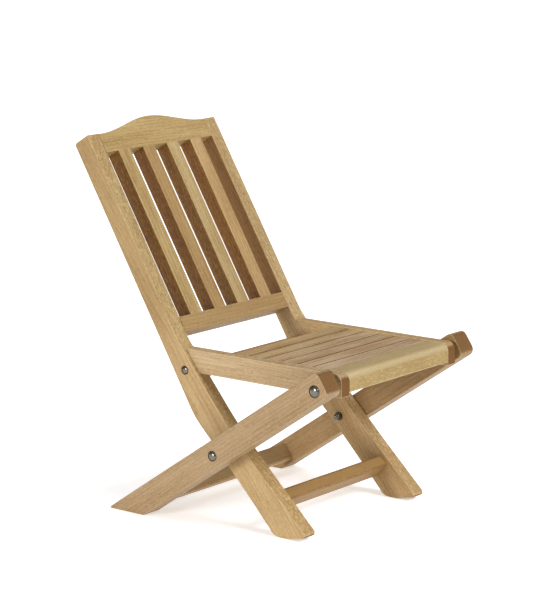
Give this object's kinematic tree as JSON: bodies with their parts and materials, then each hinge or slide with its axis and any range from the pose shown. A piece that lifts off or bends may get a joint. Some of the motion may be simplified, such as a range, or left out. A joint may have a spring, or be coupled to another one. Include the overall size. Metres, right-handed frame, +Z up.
{
  "type": "folding chair",
  "caption": "Armless folding chair in pale timber: slatted leaning back on bent long legs, crossed short legs, slatted seat that lifts off a rest rail to fold flat.",
  "frame": {"origin": "on the floor under the middle of the chair's width and depth", "axes": "+Z up, the sitter faces -Y, +X to the sitter's left"},
  "size_m": [0.5702, 0.7666, 0.8658],
  "materials": {
    "beech_board": "oiled, fine short flecks along the grain",
    "dowel_wood": "raw turned dowel",
    "spacer_wood": "oiled",
    "bolt_steel": "stainless, domed heads",
    "screw_steel": "zinc plated",
    "insert_brass": "threaded sleeve"
  },
  "bodies": {
    "back_frame": {"long_leg_right": "beech_board", "long_leg_left": "beech_board", "back_top_rail": "beech_board", "back_lower_rail": "beech_board", "back_slat_1": "beech_board", "back_slat_2": "beech_board", "back_slat_3": "beech_board", "back_slat_4": "beech_board", "front_stretcher": "beech_board", "back_frame_dowels": "dowel_wood", "seat_rest_rail": "beech_board", "rest_rail_inserts": "insert_brass", "rest_rail_bolts": "bolt_steel"},
    "rear_leg_frame": {"short_leg_right": "beech_board", "short_leg_left": "beech_board", "rear_stretcher": "beech_board", "rear_stretcher_dowels": "dowel_wood", "leg_pivot_bolts": "bolt_steel", "leg_pivot_washers": "bolt_steel", "leg_pivot_nut_washers": "bolt_steel", "leg_pivot_cap_nuts": "bolt_steel"},
    "seat": {"seat_side_rail_right": "beech_board", "seat_side_rail_left": "beech_board", "seat_front_rail": "beech_board", "seat_slat_1": "beech_board", "seat_slat_2": "beech_board", "seat_slat_3": "beech_board", "seat_slat_4": "beech_board", "seat_slat_5": "beech_board", "seat_slat_6": "beech_board", "seat_cleat_right": "beech_board", "seat_cleat_left": "beech_board", "slat_screws": "screw_steel", "cleat_screws": "screw_steel", "front_rail_dowels": "dowel_wood", "seat_pivot_inserts": "insert_brass", "seat_pivot_spacers": "spacer_wood", "seat_pivot_bolts": "bolt_steel"}
  },
  "joints": [
    {"name": "leg_fold", "type": "hinge", "parent": "back_frame", "child": "rear_leg_frame", "pos_m": [0, -0.07198, 0.1715], "axis": [-1, 0, 0], "range_deg": [0, 82]},
    {"name": "seat_lift", "type": "hinge", "parent": "rear_leg_frame", "child": "seat", "pos_m": [0, -0.35198, 0.358], "axis": [1, 0, 0], "range_deg": [0, 141]}
  ],
  "couplings": [
    {"joint": "seat_lift", "follows": "leg_fold", "ratio": 1.7195}
  ]
}
